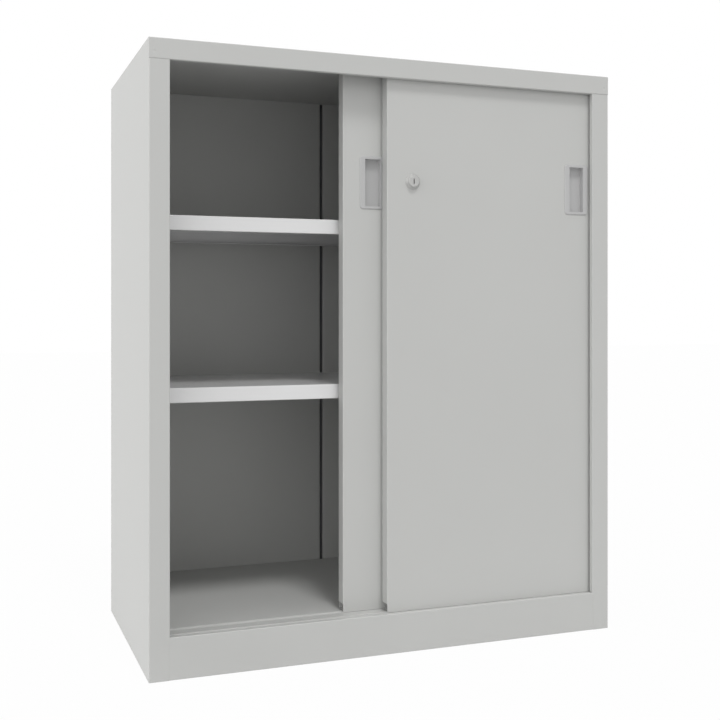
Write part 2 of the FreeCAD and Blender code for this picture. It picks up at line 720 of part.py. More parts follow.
def door_panel(label, left, face, pull_x, lock_x=None):
    """Pan door: face, two side returns with inner flanges, a floor flange and a head flange. The face
    alone runs on below the floor flange, as a skirt that hides the rollers."""
    pan_back = "Sizes.door_thickness"
    path = [
        ("Sizes.door_flange", pan_back),
        ("0", pan_back),
        ("0", "0"),
        (door_width, "0"),
        (door_width, pan_back),
        (f"{door_width} - Sizes.door_flange", pan_back),
    ]
    body = fold(
        label, "XY_Plane", f"-{door_skirt}", f"{door_skirt} + {door_height}", path, 1,
        steel="Sizes.door_steel", bend="Sizes.door_bend",
    )
    behind = rectangle(
        "-Sizes.door_steel", "Sizes.door_steel",
        f"{door_width} + Sizes.door_steel", "Sizes.door_thickness + Sizes.door_steel",
    )
    rise = f"{door_skirt} + Sizes.door_floor_notch"
    add_pocket(body, "XY_Plane", f"-{door_skirt}", rise, behind, label + "_floor_notch")
    under = f"{door_height} - Sizes.door_head_notch"
    add_pocket(body, "XY_Plane", under, "Sizes.door_head_notch", behind, label + "_head_notch")
    lip = "Sizes.door_end_lip"
    floor_flange = [
        ("Sizes.door_steel / 2", "0"),
        (pan_back, "0"),
        (pan_back, lip),
        (f"{pan_back} - Sizes.door_steel", lip),
        (f"{pan_back} - Sizes.door_steel", "Sizes.door_steel"),
        ("Sizes.door_steel / 2", "Sizes.door_steel"),
    ]
    head_flange = [(u, f"{door_height} - ({v})") for u, v in floor_flange]
    start = "Sizes.door_bend"
    length = f"{door_width} - 2 * Sizes.door_bend"
    add_pad(body, "YZ_Plane", start, length, floor_flange, label + "_floor_flange")
    add_pad(body, "YZ_Plane", start, length, head_flange, label + "_head_flange")
    reach = f"({roller_outer} + Sizes.roller_slot_gap)"
    for number, x in enumerate(roller_places):
        slot = rectangle(
            f"{x} - {reach}", "Sizes.door_steel",
            f"{x} + {reach}", f"{cheek_front} + Sizes.seat_gap",
        )
        add_pocket(body, "XY_Plane", "0", "Sizes.door_steel", slot, f"{label}_roller_slot_{number}")
    centre = f"(Sizes.pull_height - {door_bottom})"
    hole = rectangle(
        f"{pull_x} - {pull_cup_width} / 2 - Sizes.seam", f"{centre} - {pull_cup_length} / 2 - Sizes.seam",
        f"{pull_x} + {pull_cup_width} / 2 + Sizes.seam", f"{centre} + {pull_cup_length} / 2 + Sizes.seam",
    )
    add_pocket(body, "XZ_Plane", "0", "Sizes.door_steel", hole, label + "_pull_hole")
    if lock_x:
        circle = (lock_x, f"Sizes.lock_height - {door_bottom}", "Sizes.lock_barrel_radius + Sizes.seam")
        add_pocket(body, "XZ_Plane", "0", "Sizes.door_steel", [], label + "_lock_hole", [circle])
    return keep(body, label, left, face, door_bottom)


def door_stiffener(label, left, face):
    """Hat section glued behind the middle of the face."""
    middle = f"({door_width} / 2)"
    foot = "Sizes.stiffener_width / 2 + Sizes.stiffener_flange"
    near = "Sizes.door_steel"
    far = "Sizes.door_steel + Sizes.stiffener_depth"
    path = [
        (f"{middle} - ({foot})", near),
        (f"{middle} - Sizes.stiffener_width / 2", near),
        (f"{middle} - Sizes.stiffener_width / 2", far),
        (f"{middle} + Sizes.stiffener_width / 2", far),
        (f"{middle} + Sizes.stiffener_width / 2", near),
        (f"{middle} + ({foot})", near),
    ]
    start = "Sizes.door_end_lip + Sizes.door_bend"
    body = fold(
        label, "XY_Plane", start, f"{door_height} - 2 * ({start})", path, 1,
        steel="Sizes.door_steel", bend="Sizes.door_bend",
    )
    return keep(body, label, left, face, door_bottom)


def flush_pull(label, left, face, pull_x):
    """Moulded pull: a thin frame on the face and a cup let into the door."""
    body = new_body(label)
    middle = f"(Sizes.pull_height - {door_bottom})"

    def centred(width, length):
        return rectangle(
            f"{pull_x} - {width} / 2", f"{middle} - {length} / 2",
            f"{pull_x} + {width} / 2", f"{middle} + {length} / 2",
        )

    frame = centred("Sizes.pull_width", "Sizes.pull_length")
    cup = centred(pull_cup_width, pull_cup_length)
    mouth = centred(pull_mouth_width, pull_mouth_length)
    plane = "XZ_Plane"
    nose = "-Sizes.pull_proud"
    add_pad(body, plane, nose, "Sizes.pull_proud", frame, label + "_frame")
    round_corners(body, plane, frame, "Sizes.pull_corner", label + "_frame_corners")
    bevel_edges(body, edges_at(body.Shape, nose), "Sizes.pull_bevel", label + "_frame_bevel")
    add_pad(body, plane, "0", "Sizes.pull_depth + Sizes.pull_wall", cup, label + "_cup")
    cup_radius = "Sizes.pull_mouth_corner + Sizes.pull_wall"
    round_corners(body, plane, cup, cup_radius, label + "_cup_corners")
    add_pocket(body, plane, nose, "Sizes.pull_depth + Sizes.pull_proud", mouth, label + "_mouth")
    round_corners(body, plane, mouth, "Sizes.pull_mouth_corner", label + "_mouth_corners")
    radius = "min(Sizes.pull_floor_round; Sizes.pull_depth / 2)"
    round_edges(body, edges_at(body.Shape, "Sizes.pull_depth"), radius, label + "_floor_round")
    return keep(body, label, left, face, door_bottom)


def revolve(label, points):
    """Turned piece about the Y axis. Points are radius and distance along the axis."""
    body = new_body(label)
    sketch = add_sketch(body, "XY_Plane", "0", label + "_section")
    draw_outline(sketch, points)
    turned = body.newObject("PartDesign::Revolution", label + "_turned")
    turned.Profile = sketch
    turned.ReferenceAxis = (sketch, ["V_Axis"])
    turned.Angle = 360
    doc.recompute()
    return body


def chamfer_rim(body, radius, y, size, feature):
    """Chamfer the circular edge of a turned piece at one radius and place."""
    reach = value(radius)
    rim = [
        name for name in edges_at(body.Shape, y)
        if abs(body.Shape.getElement(name).BoundBox.XMax - reach) < tolerance
    ]
    return bevel_edges(body, rim, size, feature)


def roller(label, left, face, x):
    """Grooved nylon roller that straddles the bead of the floor track."""
    half = f"({roller_width} / 2)"
    groove = f"({roller_groove} / 2)"
    bore = "Sizes.axle_radius + Sizes.running_gap"
    section = [
        (bore, f"-{half}"),
        (roller_outer, f"-{half}"),
        (roller_outer, f"-{groove}"),
        ("Sizes.roller_radius", f"-{groove}"),
        ("Sizes.roller_radius", groove),
        (roller_outer, groove),
        (roller_outer, half),
        (bore, half),
    ]
    body = revolve(label, section)
    places = (f"{left} + {x}", f"{face} + Sizes.roller_setback", f"{door_bottom} + {roller_axis}")
    return keep(body, label, *places)


def roller_bracket():
    """Z-shaped bracket: a flange on the back of the face, a shelf over the roller, a cheek beside it."""
    near = "Sizes.door_steel"
    path = [
        (near, f"{bracket_shelf} + Sizes.bracket_flange"),
        (near, bracket_shelf),
        (cheek_front, bracket_shelf),
        (cheek_front, "Sizes.door_steel + Sizes.seat_gap"),
    ]
    body = fold(
        "roller_bracket", "YZ_Plane", "-Sizes.bracket_width / 2", "Sizes.bracket_width", path, 1,
        steel="Sizes.bracket_steel", bend=None,
    )
    hole = ("0", roller_axis, "Sizes.axle_radius + Sizes.running_gap")
    add_pocket(body, "XZ_Plane", cheek_front, "Sizes.bracket_steel", [], "bracket_hole", [hole])
    return body


def roller_axle():
    """Shouldered pin, headed behind the bracket's cheek. Its origin is on the door's face."""
    head_front = f"({cheek_front} + Sizes.bracket_steel)"
    tip = f"(Sizes.roller_setback - {roller_width} / 2 - Sizes.seat_gap / 2)"
    section = [
        ("0", tip),
        ("Sizes.axle_radius", tip),
        ("Sizes.axle_radius", head_front),
        ("Sizes.axle_head_radius", head_front),
        ("Sizes.axle_head_radius", f"{head_front} + Sizes.axle_head"),
        ("0", f"{head_front} + Sizes.axle_head"),
    ]
    return revolve("roller_axle", section)


def head_guide():
    """Nylon guide on the head flange, with a tongue that runs in the head track."""
    body = new_body("head_guide")
    middle = "Sizes.door_thickness / 2"
    foot = rectangle(
        "-Sizes.guide_foot / 2", f"{middle} - Sizes.guide_foot_width / 2",
        "Sizes.guide_foot / 2", f"{middle} + Sizes.guide_foot_width / 2",
    )
    tongue = rectangle(
        "-Sizes.guide_length / 2", f"{middle} - Sizes.guide_width / 2",
        "Sizes.guide_length / 2", f"{middle} + Sizes.guide_width / 2",
    )
    under = f"{door_height} - Sizes.door_steel"
    foot_rise = "Sizes.guide_foot_height"
    add_pad(body, "XY_Plane", f"{under} - {foot_rise}", foot_rise, foot, "guide_foot")
    rise = "Sizes.guide_foot_height / 2 + Sizes.door_steel + Sizes.guide_rise"
    add_pad(body, "XY_Plane", f"{under} - Sizes.guide_foot_height / 2", rise, tongue, "guide_tongue")
    return body


def cut_guide_holes(body, label):
    """Holes in the head flange for the guides' tongues."""
    middle = "Sizes.door_thickness / 2"
    for number, x in enumerate(guide_places):
        hole = rectangle(
            f"{x} - Sizes.guide_length / 2 - Sizes.seam", f"{middle} - Sizes.guide_width / 2 - Sizes.seam",
            f"{x} + Sizes.guide_length / 2 + Sizes.seam", f"{middle} + Sizes.guide_width / 2 + Sizes.seam",
        )
        start = f"{door_height} - Sizes.door_steel"
        add_pocket(body, "XY_Plane", start, "Sizes.door_steel", hole, f"{label}_guide_hole_{number}")


# --- push lock: its axis is parallel to Y, its origin on the door's face --------------------------


def lock_housing(place):
    """Conical collar on the door's face and the barrel that carries the button."""
    bore ="Sizes.lock_button_radius + Sizes.running_gap"
    hole = "Sizes.lock_bolt_radius + Sizes.running_gap"
    end = "Sizes.lock_barrel_length"
    section = [
        (bore, "-Sizes.lock_collar"),
        ("Sizes.lock_collar_front_radius", "-Sizes.lock_collar"),
        ("Sizes.lock_collar_radius", "-Sizes.lock_collar_edge"),
        ("Sizes.lock_collar_radius", "0"),
        ("Sizes.lock_barrel_radius", "0"),
        ("Sizes.lock_barrel_radius", end),
        (hole, end),
        (hole, f"{end} - Sizes.lock_end_wall"),
        (bore, f"{end} - Sizes.lock_end_wall"),
    ]
    return keep(revolve("lock_housing", section), "lock_housing", *place)


def lock_nut(place):
    """Hexagon nut that holds the housing to the back of the door's face."""
    block = doc.addObject("Part::Prism", "nut_block")
    block.Polygon = 6
    block.setExpression("Circumradius", "Sizes.lock_nut_size / 2 / cos(30)")
    block.setExpression("Height", "Sizes.lock_nut_thickness")
    hole = doc.addObject("Part::Cylinder", "nut_hole")
    hole.setExpression("Radius", "Sizes.lock_barrel_radius + Sizes.running_gap")
    hole.setExpression("Height", "Sizes.lock_nut_thickness")
    nut = doc.addObject("Part::Cut", "lock_nut")
    nut.Base = block
    nut.Tool = hole
    nut.Placement.Rotation = FreeCAD.Rotation(FreeCAD.Vector(1, 0, 0), -90)
    x, y, z = place
    return keep(nut, "lock_nut", x, f"{y} + Sizes.door_steel", z)


def lock_button(place):
    """Push button and bolt in one turning, bored for the key plug."""
    nose = "-Sizes.lock_button_proud"
    shoulder = f"({nose} + Sizes.lock_button_length)"
    bore = "Sizes.lock_plug_radius + Sizes.running_gap"
    bore_end = f"({nose} + Sizes.lock_plug_length + Sizes.seat_gap)"
    tip = f"({shoulder} + Sizes.lock_bolt_length)"
    section = [
        (bore, nose),
        ("Sizes.lock_button_radius", nose),
        ("Sizes.lock_button_radius", shoulder),
        ("Sizes.lock_bolt_radius", shoulder),
        ("Sizes.lock_bolt_radius", tip),
        ("0", tip),
        ("0", bore_end),
        (bore, bore_end),
    ]
    body = revolve("lock_button", section)
    chamfer_rim(body, "Sizes.lock_button_radius", nose, "Sizes.lock_button_chamfer", "button_rim")
    return keep(body, "lock_button", *place)


def lock_plug(place):
    """Key plug with its keyway upright."""
    nose = "-Sizes.lock_button_proud"
    section = [
        ("0", nose),
        ("Sizes.lock_plug_radius", nose),
        ("Sizes.lock_plug_radius", f"{nose} + Sizes.lock_plug_length"),
        ("0", f"{nose} + Sizes.lock_plug_length"),
    ]
    body = revolve("lock_plug", section)
    keyway = rectangle(
        "-Sizes.keyway_width / 2", "-Sizes.keyway_length / 2",
        "Sizes.keyway_width / 2", "Sizes.keyway_length / 2",
    )
    add_pocket(body, "XZ_Plane", nose, "Sizes.keyway_depth", keyway, "keyway")
    return keep(body, "lock_plug", *place)


def lock_spring(place):
    """Coil spring round the bolt, between the button's shoulder and the housing's end wall."""
    clear = "(Sizes.seat_gap + Sizes.spring_wire)"
    shoulder = f"(Sizes.lock_button_length - Sizes.lock_button_proud + {clear})"
    wall = f"(Sizes.lock_barrel_length - Sizes.lock_end_wall - {clear})"
    line = doc.addObject("Part::Helix", "spring_line")
    line.setExpression("Height", f"{wall} - {shoulder}")
    line.setExpression("Pitch", f"({wall} - {shoulder}) / Sizes.spring_turns")
    line.setExpression("Radius", "Sizes.spring_radius")
    wire = doc.addObject("Part::RegularPolygon", "spring_section")
    wire.Polygon = 6
    wire.setExpression("Circumradius", "Sizes.spring_wire")
    wire.setExpression("Placement.Base.x", "Sizes.spring_radius")
    wire.Placement.Rotation = FreeCAD.Rotation(FreeCAD.Vector(1, 0, 0), 90)
    spring = doc.addObject("Part::Sweep", "lock_spring")
    doc.recompute()
    spring.Sections = [wire]
    spring.Spine = (line, [f"Edge{i}" for i in range(1, len(line.Shape.Edges) + 1)])
    spring.Solid = True
    spring.Frenet = True
    spring.Placement.Rotation = FreeCAD.Rotation(FreeCAD.Vector(1, 0, 0), -90)
    x, y, z = place
    return keep(spring, "lock_spring", x, f"{y} + {shoulder}", z)


def lock_keeper():
    """Angle riveted to the rear door's free edge. With both doors closed its lip stands in the gap
    between them, just short of the bolt."""
    bolt_side = "Sizes.lock_inset - Sizes.lock_bolt_radius - Sizes.keeper_gap"
    reach = f"({door_width} - Sizes.door_overlap + {bolt_side})"
    root = f"({door_width} - Sizes.keeper_lap)"
    path = [
        (root, "0"),
        (reach, "0"),
        (reach, "-Sizes.keeper_lip"),
    ]
    middle = f"(Sizes.lock_height - {door_bottom})"
    body = fold(
        "lock_keeper", "XY_Plane", f"{middle} - Sizes.keeper_height / 2", "Sizes.keeper_height", path, -1,
        steel="Sizes.keeper_steel", bend="Sizes.hem_bend",
    )
    return keep(body, "lock_keeper", rear_door_left, rear_door_face, door_bottom)


roller_places = ["Sizes.roller_inset", f"({door_width} - Sizes.roller_inset)"]
guide_places = ["Sizes.guide_inset", f"({door_width} - Sizes.guide_inset)"]

side_panel("left_side_panel", -1)
side_panel("right_side_panel", 1)
top_panel()
bottom_deck()
front_rail()
back_panel("left_back_panel", -1)
back_panel("right_back_panel", 1)
back_cover_strip()
floor_track()
head_track("front_head_track", front_door_face)
head_track("rear_head_track", rear_door_face)
buffers("left_buffers", -1)
buffers("right_buffers", 1)

for side, hand in (("left", -1), ("right", 1)):
    upright(f"{side}_front_upright", hand, front_upright_middle)
    upright(f"{side}_rear_upright", hand, rear_upright_middle)
clips = {-1: shelf_clip("left_clip", -1), 1: shelf_clip("right_clip", 1)}
for level in ("upper", "lower"):
    shelf(f"{level}_shelf", f"Sizes.{level}_shelf_height")
    shelf_clips(f"{level}_shelf_clips", clips, f"Sizes.{level}_shelf_height")

bracket = roller_bracket()
axle = roller_axle()
guide = head_guide()
doors = {
    "front": (front_door_left, front_door_face, f"({door_width} - Sizes.pull_inset)", "Sizes.lock_inset"),
    "rear": (rear_door_left, rear_door_face, "Sizes.pull_inset", None),
}
for name, (left, face, pull_x, lock_x) in doors.items():
    panel = door_panel(f"{name}_door_panel", left, face, pull_x, lock_x)
    cut_guide_holes(panel, f"{name}_door")
    door_stiffener(f"{name}_door_stiffener", left, face)
    flush_pull(f"{name}_pull", left, face, pull_x)
    for side, x in zip(("left", "right"), roller_places):
        roller(f"{name}_{side}_roller", left, face, x)
    beside = [(f"{left} + {x}", face, door_bottom) for x in roller_places]
    copies(f"{name}_roller_brackets", bracket, beside)
    on_axis = [(x, y, f"{z} + {roller_axis}") for x, y, z in beside]
    copies(f"{name}_roller_axles", axle, on_axis)
    copies(f"{name}_head_guides", guide, [(f"{left} + {x}", face, door_bottom) for x in guide_places])

lock_place = (f"{front_door_left} + Sizes.lock_inset", front_door_face, "Sizes.lock_height")
lock_housing(lock_place)
lock_nut(lock_place)
lock_button(lock_place)
lock_plug(lock_place)
lock_spring(lock_place)
lock_keeper()

doc.recompute()
for item in doc.Objects:
    if "Invalid" in item.State or "Error" in item.State:
        raise RuntimeError(f"{item.Label} is {item.State}")
for item in nodes:
    if item.Shape.isNull() or not item.Shape.isValid() or not item.Shape.Solids:
        raise RuntimeError(item.Label + " has no valid solid")

os.makedirs("parts", exist_ok=True)
for item in nodes:
    item.Shape.exportStep(f"parts/{item.Label}.step")
print(len(nodes), "pieces written")
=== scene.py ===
import json
import math

import bpy
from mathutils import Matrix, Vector

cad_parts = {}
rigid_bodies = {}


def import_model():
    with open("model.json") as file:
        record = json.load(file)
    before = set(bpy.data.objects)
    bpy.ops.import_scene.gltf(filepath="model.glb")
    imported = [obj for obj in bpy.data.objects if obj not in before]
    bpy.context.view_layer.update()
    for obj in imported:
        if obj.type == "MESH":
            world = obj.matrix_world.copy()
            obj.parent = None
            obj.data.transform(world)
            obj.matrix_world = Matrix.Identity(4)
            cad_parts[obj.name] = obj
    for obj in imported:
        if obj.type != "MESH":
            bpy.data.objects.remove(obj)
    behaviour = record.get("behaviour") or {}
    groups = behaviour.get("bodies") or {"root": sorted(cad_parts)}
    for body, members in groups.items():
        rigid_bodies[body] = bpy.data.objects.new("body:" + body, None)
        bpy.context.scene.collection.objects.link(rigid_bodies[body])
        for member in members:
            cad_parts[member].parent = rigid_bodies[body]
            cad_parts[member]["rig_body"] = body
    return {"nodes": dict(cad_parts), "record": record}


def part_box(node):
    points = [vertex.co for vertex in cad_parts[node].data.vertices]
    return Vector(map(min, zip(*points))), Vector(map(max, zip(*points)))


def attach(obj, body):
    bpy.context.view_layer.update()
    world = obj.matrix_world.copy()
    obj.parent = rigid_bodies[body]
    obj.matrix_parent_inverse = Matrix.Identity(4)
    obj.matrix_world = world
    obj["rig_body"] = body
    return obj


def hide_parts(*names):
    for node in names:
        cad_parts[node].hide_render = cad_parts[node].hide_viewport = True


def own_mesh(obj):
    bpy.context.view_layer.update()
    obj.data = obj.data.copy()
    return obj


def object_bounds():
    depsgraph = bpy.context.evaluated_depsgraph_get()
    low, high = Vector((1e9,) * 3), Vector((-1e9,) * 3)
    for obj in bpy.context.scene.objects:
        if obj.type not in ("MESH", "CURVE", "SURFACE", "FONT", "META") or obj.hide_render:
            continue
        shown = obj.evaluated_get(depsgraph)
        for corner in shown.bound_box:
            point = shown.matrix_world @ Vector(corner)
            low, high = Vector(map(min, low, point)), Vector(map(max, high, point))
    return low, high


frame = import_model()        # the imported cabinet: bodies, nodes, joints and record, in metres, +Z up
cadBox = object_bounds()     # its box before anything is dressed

nodes = frame["nodes"]
slotOf = {part["node"]: part["material_slot"] for part in frame["record"]["subparts"]}
mm = 0.001               # sizes below are written in millimetres
bpy.ops.object.select_all(action="DESELECT")
print("frame loaded:", len(nodes), "nodes")


# Node building

def addNode(tree, kind, x, y, **settings):
    node = tree.nodes.new(kind)
    node.location = (x, y)
    for name, value in settings.items():
        setattr(node, name, value)
    return node


def fill(node, **values):
    for name, value in values.items():
        node.inputs[name].default_value = value


def newGroup(name, inputs, outputs):
    group = bpy.data.node_groups.new(name, "ShaderNodeTree")
    for side, sockets in (("INPUT", inputs), ("OUTPUT", outputs)):
        for label, kind in sockets.items():
            group.interface.new_socket(name=label, in_out=side, socket_type="NodeSocket" + kind)
    return group, addNode(group, "NodeGroupInput", -900, 0), addNode(group, "NodeGroupOutput", 900, 0)


def mixColours(tree, x, y, mask, under, over):
    node = addNode(tree, "ShaderNodeMix", x, y, data_type="RGBA")
    colours = [socket for socket in node.inputs if socket.type == "RGBA"]
    tree.links.new(mask, node.inputs[0])
    for value, socket in zip((under, over), colours):
        if isinstance(value, tuple):
            socket.default_value = value
        else:
            tree.links.new(value, socket)
    return next(socket for socket in node.outputs if socket.type == "RGBA")


def rescale(tree, x, y, value, fromMin, fromMax, toMin, toMax):
    node = addNode(tree, "ShaderNodeMapRange", x, y, clamp=True)
    fill(node, **{"From Min": fromMin, "From Max": fromMax, "To Min": toMin, "To Max": toMax})
    tree.links.new(value, node.inputs["Value"])
    return node.outputs["Result"]


def noise(tree, x, y, place, scale, detail=2.0):
    node = addNode(tree, "ShaderNodeTexNoise", x, y)
    fill(node, Scale=scale, Detail=detail)
    tree.links.new(place, node.inputs["Vector"])
    return node.outputs["Fac"]


def combine(tree, x, y, operation, first, second):
    node = addNode(tree, "ShaderNodeMath", x, y, operation=operation)
    tree.links.new(first, node.inputs[0])
    tree.links.new(second, node.inputs[1])
    return node.outputs[0]


# Lightens and darkens a colour by an amount, as the swing goes from -1 to 1
def shiftTone(tree, x, y, swing, amount, colour):
    shift = addNode(tree, "ShaderNodeMath", x, y, operation="MULTIPLY_ADD")
    shift.inputs[2].default_value = 1.0
    tree.links.new(swing, shift.inputs[0])
    tree.links.new(amount, shift.inputs[1])
    tone = addNode(tree, "ShaderNodeHueSaturation", x + 260, y)
    tree.links.new(shift.outputs[0], tone.inputs["Value"])
    tree.links.new(colour, tone.inputs["Color"])
    return tone.outputs["Color"]


noiseBand = (0.3, 0.7)    # where nearly all of a noise texture's values lie


# Powder coat: slow drift of tone, fine orange peel, roughness that wanders a little

paintGrain = {
    "cloudScale": 3.5,    # patches of about 300 mm
    "peelScale": 620,     # dimples of about 1.6 mm
    "speckScale": 1800,
    "speckBand": (0.4, 0.6),
    "detail": 1.0,        # of the peel and the specks
    "wander": 0.03,       # how far the roughness follows the patches
    "grit": 0.02,         # and the specks
}


def buildPaintSkin():
    group, start, end = newGroup(
        "paintSkin",
        {"Place": "Vector", "Colour": "Color", "Drift": "Float", "Gloss": "Float"},
        {"Colour": "Color", "Roughness": "Float", "Height": "Float"})
    wires = group.links.new
    place = start.outputs["Place"]
    cloud = noise(group, -700, 200, place, paintGrain["cloudScale"])
    speck = noise(group, -700, -250, place, paintGrain["speckScale"], paintGrain["detail"])
    peel = noise(group, -700, -500, place, paintGrain["peelScale"], paintGrain["detail"])
    swing = rescale(group, -480, 200, cloud, *noiseBand, -1.0, 1.0)
    tone = shiftTone(group, -260, 200, swing, start.outputs["Drift"], start.outputs["Colour"])
    wander = rescale(group, -480, -100, cloud, *noiseBand, -paintGrain["wander"], paintGrain["wander"])
    grit = rescale(group, -480, -250, speck, *paintGrain["speckBand"], -paintGrain["grit"],
                   paintGrain["grit"])
    change = combine(group, -260, -150, "ADD", wander, grit)
    rough = combine(group, 0, -150, "ADD", change, start.outputs["Gloss"])
    wires(tone, end.inputs["Colour"])
    wires(rough, end.inputs["Roughness"])
    wires(peel, end.inputs["Height"])
    return group


# A little dust that settles on what faces up

dustFall = {
    "colour": (0.5, 0.49, 0.47, 1),
    "slopeBand": (0.6, 0.95),    # upward part of the normal, from where dust begins to lie to fully
    "patchScale": 22,
    "patchDetail": 4.0,
    "patchBand": (0.35, 0.7),
    "thinnest": 0.2,
}


def buildSettledDust():
    group, start, end = newGroup(
        "settledDust",
        {"Place": "Vector", "Colour": "Color", "Dust": "Color", "Amount": "Float"},
        {"Colour": "Color"})
    wires = group.links.new
    facing = addNode(group, "ShaderNodeNewGeometry", -700, -300)
    axes = addNode(group, "ShaderNodeSeparateXYZ", -500, -300)
    wires(facing.outputs["Normal"], axes.inputs[0])
    upward = rescale(group, -300, -300, axes.outputs["Z"], *dustFall["slopeBand"], 0.0, 1.0)
    place = start.outputs["Place"]
    cloud = noise(group, -700, 100, place, dustFall["patchScale"], dustFall["patchDetail"])
    patches = rescale(group, -480, 100, cloud, *dustFall["patchBand"], dustFall["thinnest"], 1.0)
    spread = combine(group, -100, -100, "MULTIPLY", upward, patches)
    mask = combine(group, 100, -100, "MULTIPLY", spread, start.outputs["Amount"])
    dusty = mixColours(group, 350, 100, mask, start.outputs["Colour"], start.outputs["Dust"])
    wires(dusty, end.inputs["Colour"])
    return group


# Fine grain of a spark-eroded mould or a plated surface, stretched along one axis where asked

grainDetail = 3.0


def buildFineGrain():
    group, start, end = newGroup(
        "fineGrain",
        {"Place": "Vector", "Stretch": "Vector", "Colour": "Color", "Contrast": "Float", "Gloss": "Float",
         "Fineness": "Float"},
        {"Colour": "Color", "Roughness": "Float", "Height": "Float"})
    wires = group.links.new
    drawn = addNode(group, "ShaderNodeVectorMath", -700, 0, operation="MULTIPLY")
    wires(start.outputs["Place"], drawn.inputs[0])
    wires(start.outputs["Stretch"], drawn.inputs[1])
    grain = addNode(group, "ShaderNodeTexNoise", -500, 0)
    fill(grain, Detail=grainDetail)
    wires(drawn.outputs[0], grain.inputs["Vector"])
    wires(start.outputs["Fineness"], grain.inputs["Scale"])
    swing = rescale(group, -300, 0, grain.outputs["Fac"], *noiseBand, -1.0, 1.0)
    tone = shiftTone(group, -60, 100, swing, start.outputs["Contrast"], start.outputs["Colour"])
    rough = addNode(group, "ShaderNodeMath", 150, -150, operation="MULTIPLY_ADD")
    wires(swing, rough.inputs[0])
    wires(start.outputs["Contrast"], rough.inputs[1])
    wires(start.outputs["Gloss"], rough.inputs[2])
    wires(tone, end.inputs["Colour"])
    wires(rough.outputs[0], end.inputs["Roughness"])
    wires(grain.outputs["Fac"], end.inputs["Height"])
    return group


paintSkin = buildPaintSkin()
settledDust = buildSettledDust()
fineGrain = buildFineGrain()


# Finishes

def startMaterial(name):
    material = bpy.data.materials.new(name)
    material.use_nodes = True
    tree = material.node_tree
    place = addNode(tree, "ShaderNodeTexCoord", -1300, 0).outputs["Object"]
    return material, tree, tree.nodes["Principled BSDF"], place


def addBump(tree, shader, height, depth):
    bump = addNode(tree, "ShaderNodeBump", -250, -300)
    fill(bump, Strength=1.0, Distance=depth)
    tree.links.new(height, bump.inputs["Height"])
    tree.links.new(bump.outputs["Normal"], shader.inputs["Normal"])


enamel = {
    "carcass": (0.540, 0.543, 0.530, 1),   # light grey powder coat, a touch warm
    "shelf": (0.760, 0.760, 0.760, 1),     # the shelves come in a lighter, neutral grey
    "drift": 0.012,
    "gloss": 0.46,
    "shelfGloss": 0.16,                    # and are shinier
    "peelDepth": 0.012 * mm,
    "dust": 0.05,
}


def makeEnamel(name, colour, gloss):
    material, tree, shader, place = startMaterial(name)
    skin = addNode(tree, "ShaderNodeGroup", -1000, 0, node_tree=paintSkin)
    fill(skin, Colour=colour, Drift=enamel["drift"], Gloss=gloss)
    dust = addNode(tree, "ShaderNodeGroup", -700, 100, node_tree=settledDust)
    fill(dust, Dust=dustFall["colour"], Amount=enamel["dust"])
    tree.links.new(place, skin.inputs["Place"])
    tree.links.new(place, dust.inputs["Place"])
    tree.links.new(skin.outputs["Colour"], dust.inputs["Colour"])
    tree.links.new(dust.outputs["Colour"], shader.inputs["Base Color"])
    tree.links.new(skin.outputs["Roughness"], shader.inputs["Roughness"])
    addBump(tree, shader, skin.outputs["Height"], enamel["peelDepth"])
    return material


mouldings = {
    "pull": {"colour": (0.49, 0.49, 0.49, 1), "contrast": 0.03, "gloss": 0.42, "fineness": 1400,
             "depth": 0.012 * mm},
    "nylon": {"colour": (0.80, 0.79, 0.74, 1), "contrast": 0.05, "gloss": 0.38, "fineness": 500,
              "depth": 0.01 * mm},
    # This black also goes on the back's cover strip and its end piece, where it is painted shade in the
    # joint; its tone sets how dark the joint reads
    "rubber": {"colour": (0.100, 0.100, 0.101, 1), "contrast": 0.2, "gloss": 0.72, "fineness": 900,
               "depth": 0.03 * mm},
}
metals = {
    "zinc": {"colour": (0.60, 0.61, 0.63, 1), "contrast": 0.16, "gloss": 0.34, "fineness": 240,
             "stretch": (1, 1, 1), "depth": 0.006 * mm, "metallic": 1.0},
    "nickel": {"colour": (0.50, 0.50, 0.49, 1), "contrast": 0.06, "gloss": 0.52, "fineness": 1600,
               "stretch": (1, 1, 0.08), "depth": 0.004 * mm, "metallic": 0.35},
    "steel": {"colour": (0.42, 0.42, 0.43, 1), "contrast": 0.10, "gloss": 0.33, "fineness": 700,
              "stretch": (0.1, 0.1, 1), "depth": 0.006 * mm, "metallic": 1.0},
}


def makeGrained(name, look):
    material, tree, shader, place = startMaterial(name)
    grain = addNode(tree, "ShaderNodeGroup", -800, 0, node_tree=fineGrain)
    fill(grain, Stretch=look.get("stretch", (1, 1, 1)), Colour=look["colour"], Contrast=look["contrast"],
         Gloss=look["gloss"], Fineness=look["fineness"])
    tree.links.new(place, grain.inputs["Place"])
    tree.links.new(grain.outputs["Colour"], shader.inputs["Base Color"])
    tree.links.new(grain.outputs["Roughness"], shader.inputs["Roughness"])
    shader.inputs["Metallic"].default_value = look.get("metallic", 0.0)
    addBump(tree, shader, grain.outputs["Height"], look["depth"])
    return material


finish = {
    "grey_enamel": makeEnamel("greyEnamel", enamel["carcass"], enamel["gloss"]),
    "light_grey_enamel": makeEnamel("shelfEnamel", enamel["shelf"], enamel["shelfGloss"]),
    "grey_moulding": makeGrained("pullMoulding", mouldings["pull"]),
    "nylon": makeGrained("rollerNylon", mouldings["nylon"]),
    "black_rubber": makeGrained("bufferRubber", mouldings["rubber"]),
    "zinc_plate": makeGrained("zincPlate", metals["zinc"]),
    "lock_nickel": makeGrained("lockNickel", metals["nickel"]),
    "spring_steel": makeGrained("springSteel", metals["steel"]),
}
print("finishes made:", len(finish))


# Dressing: a merged copy of a node with eased edges and clean shading stands for the node

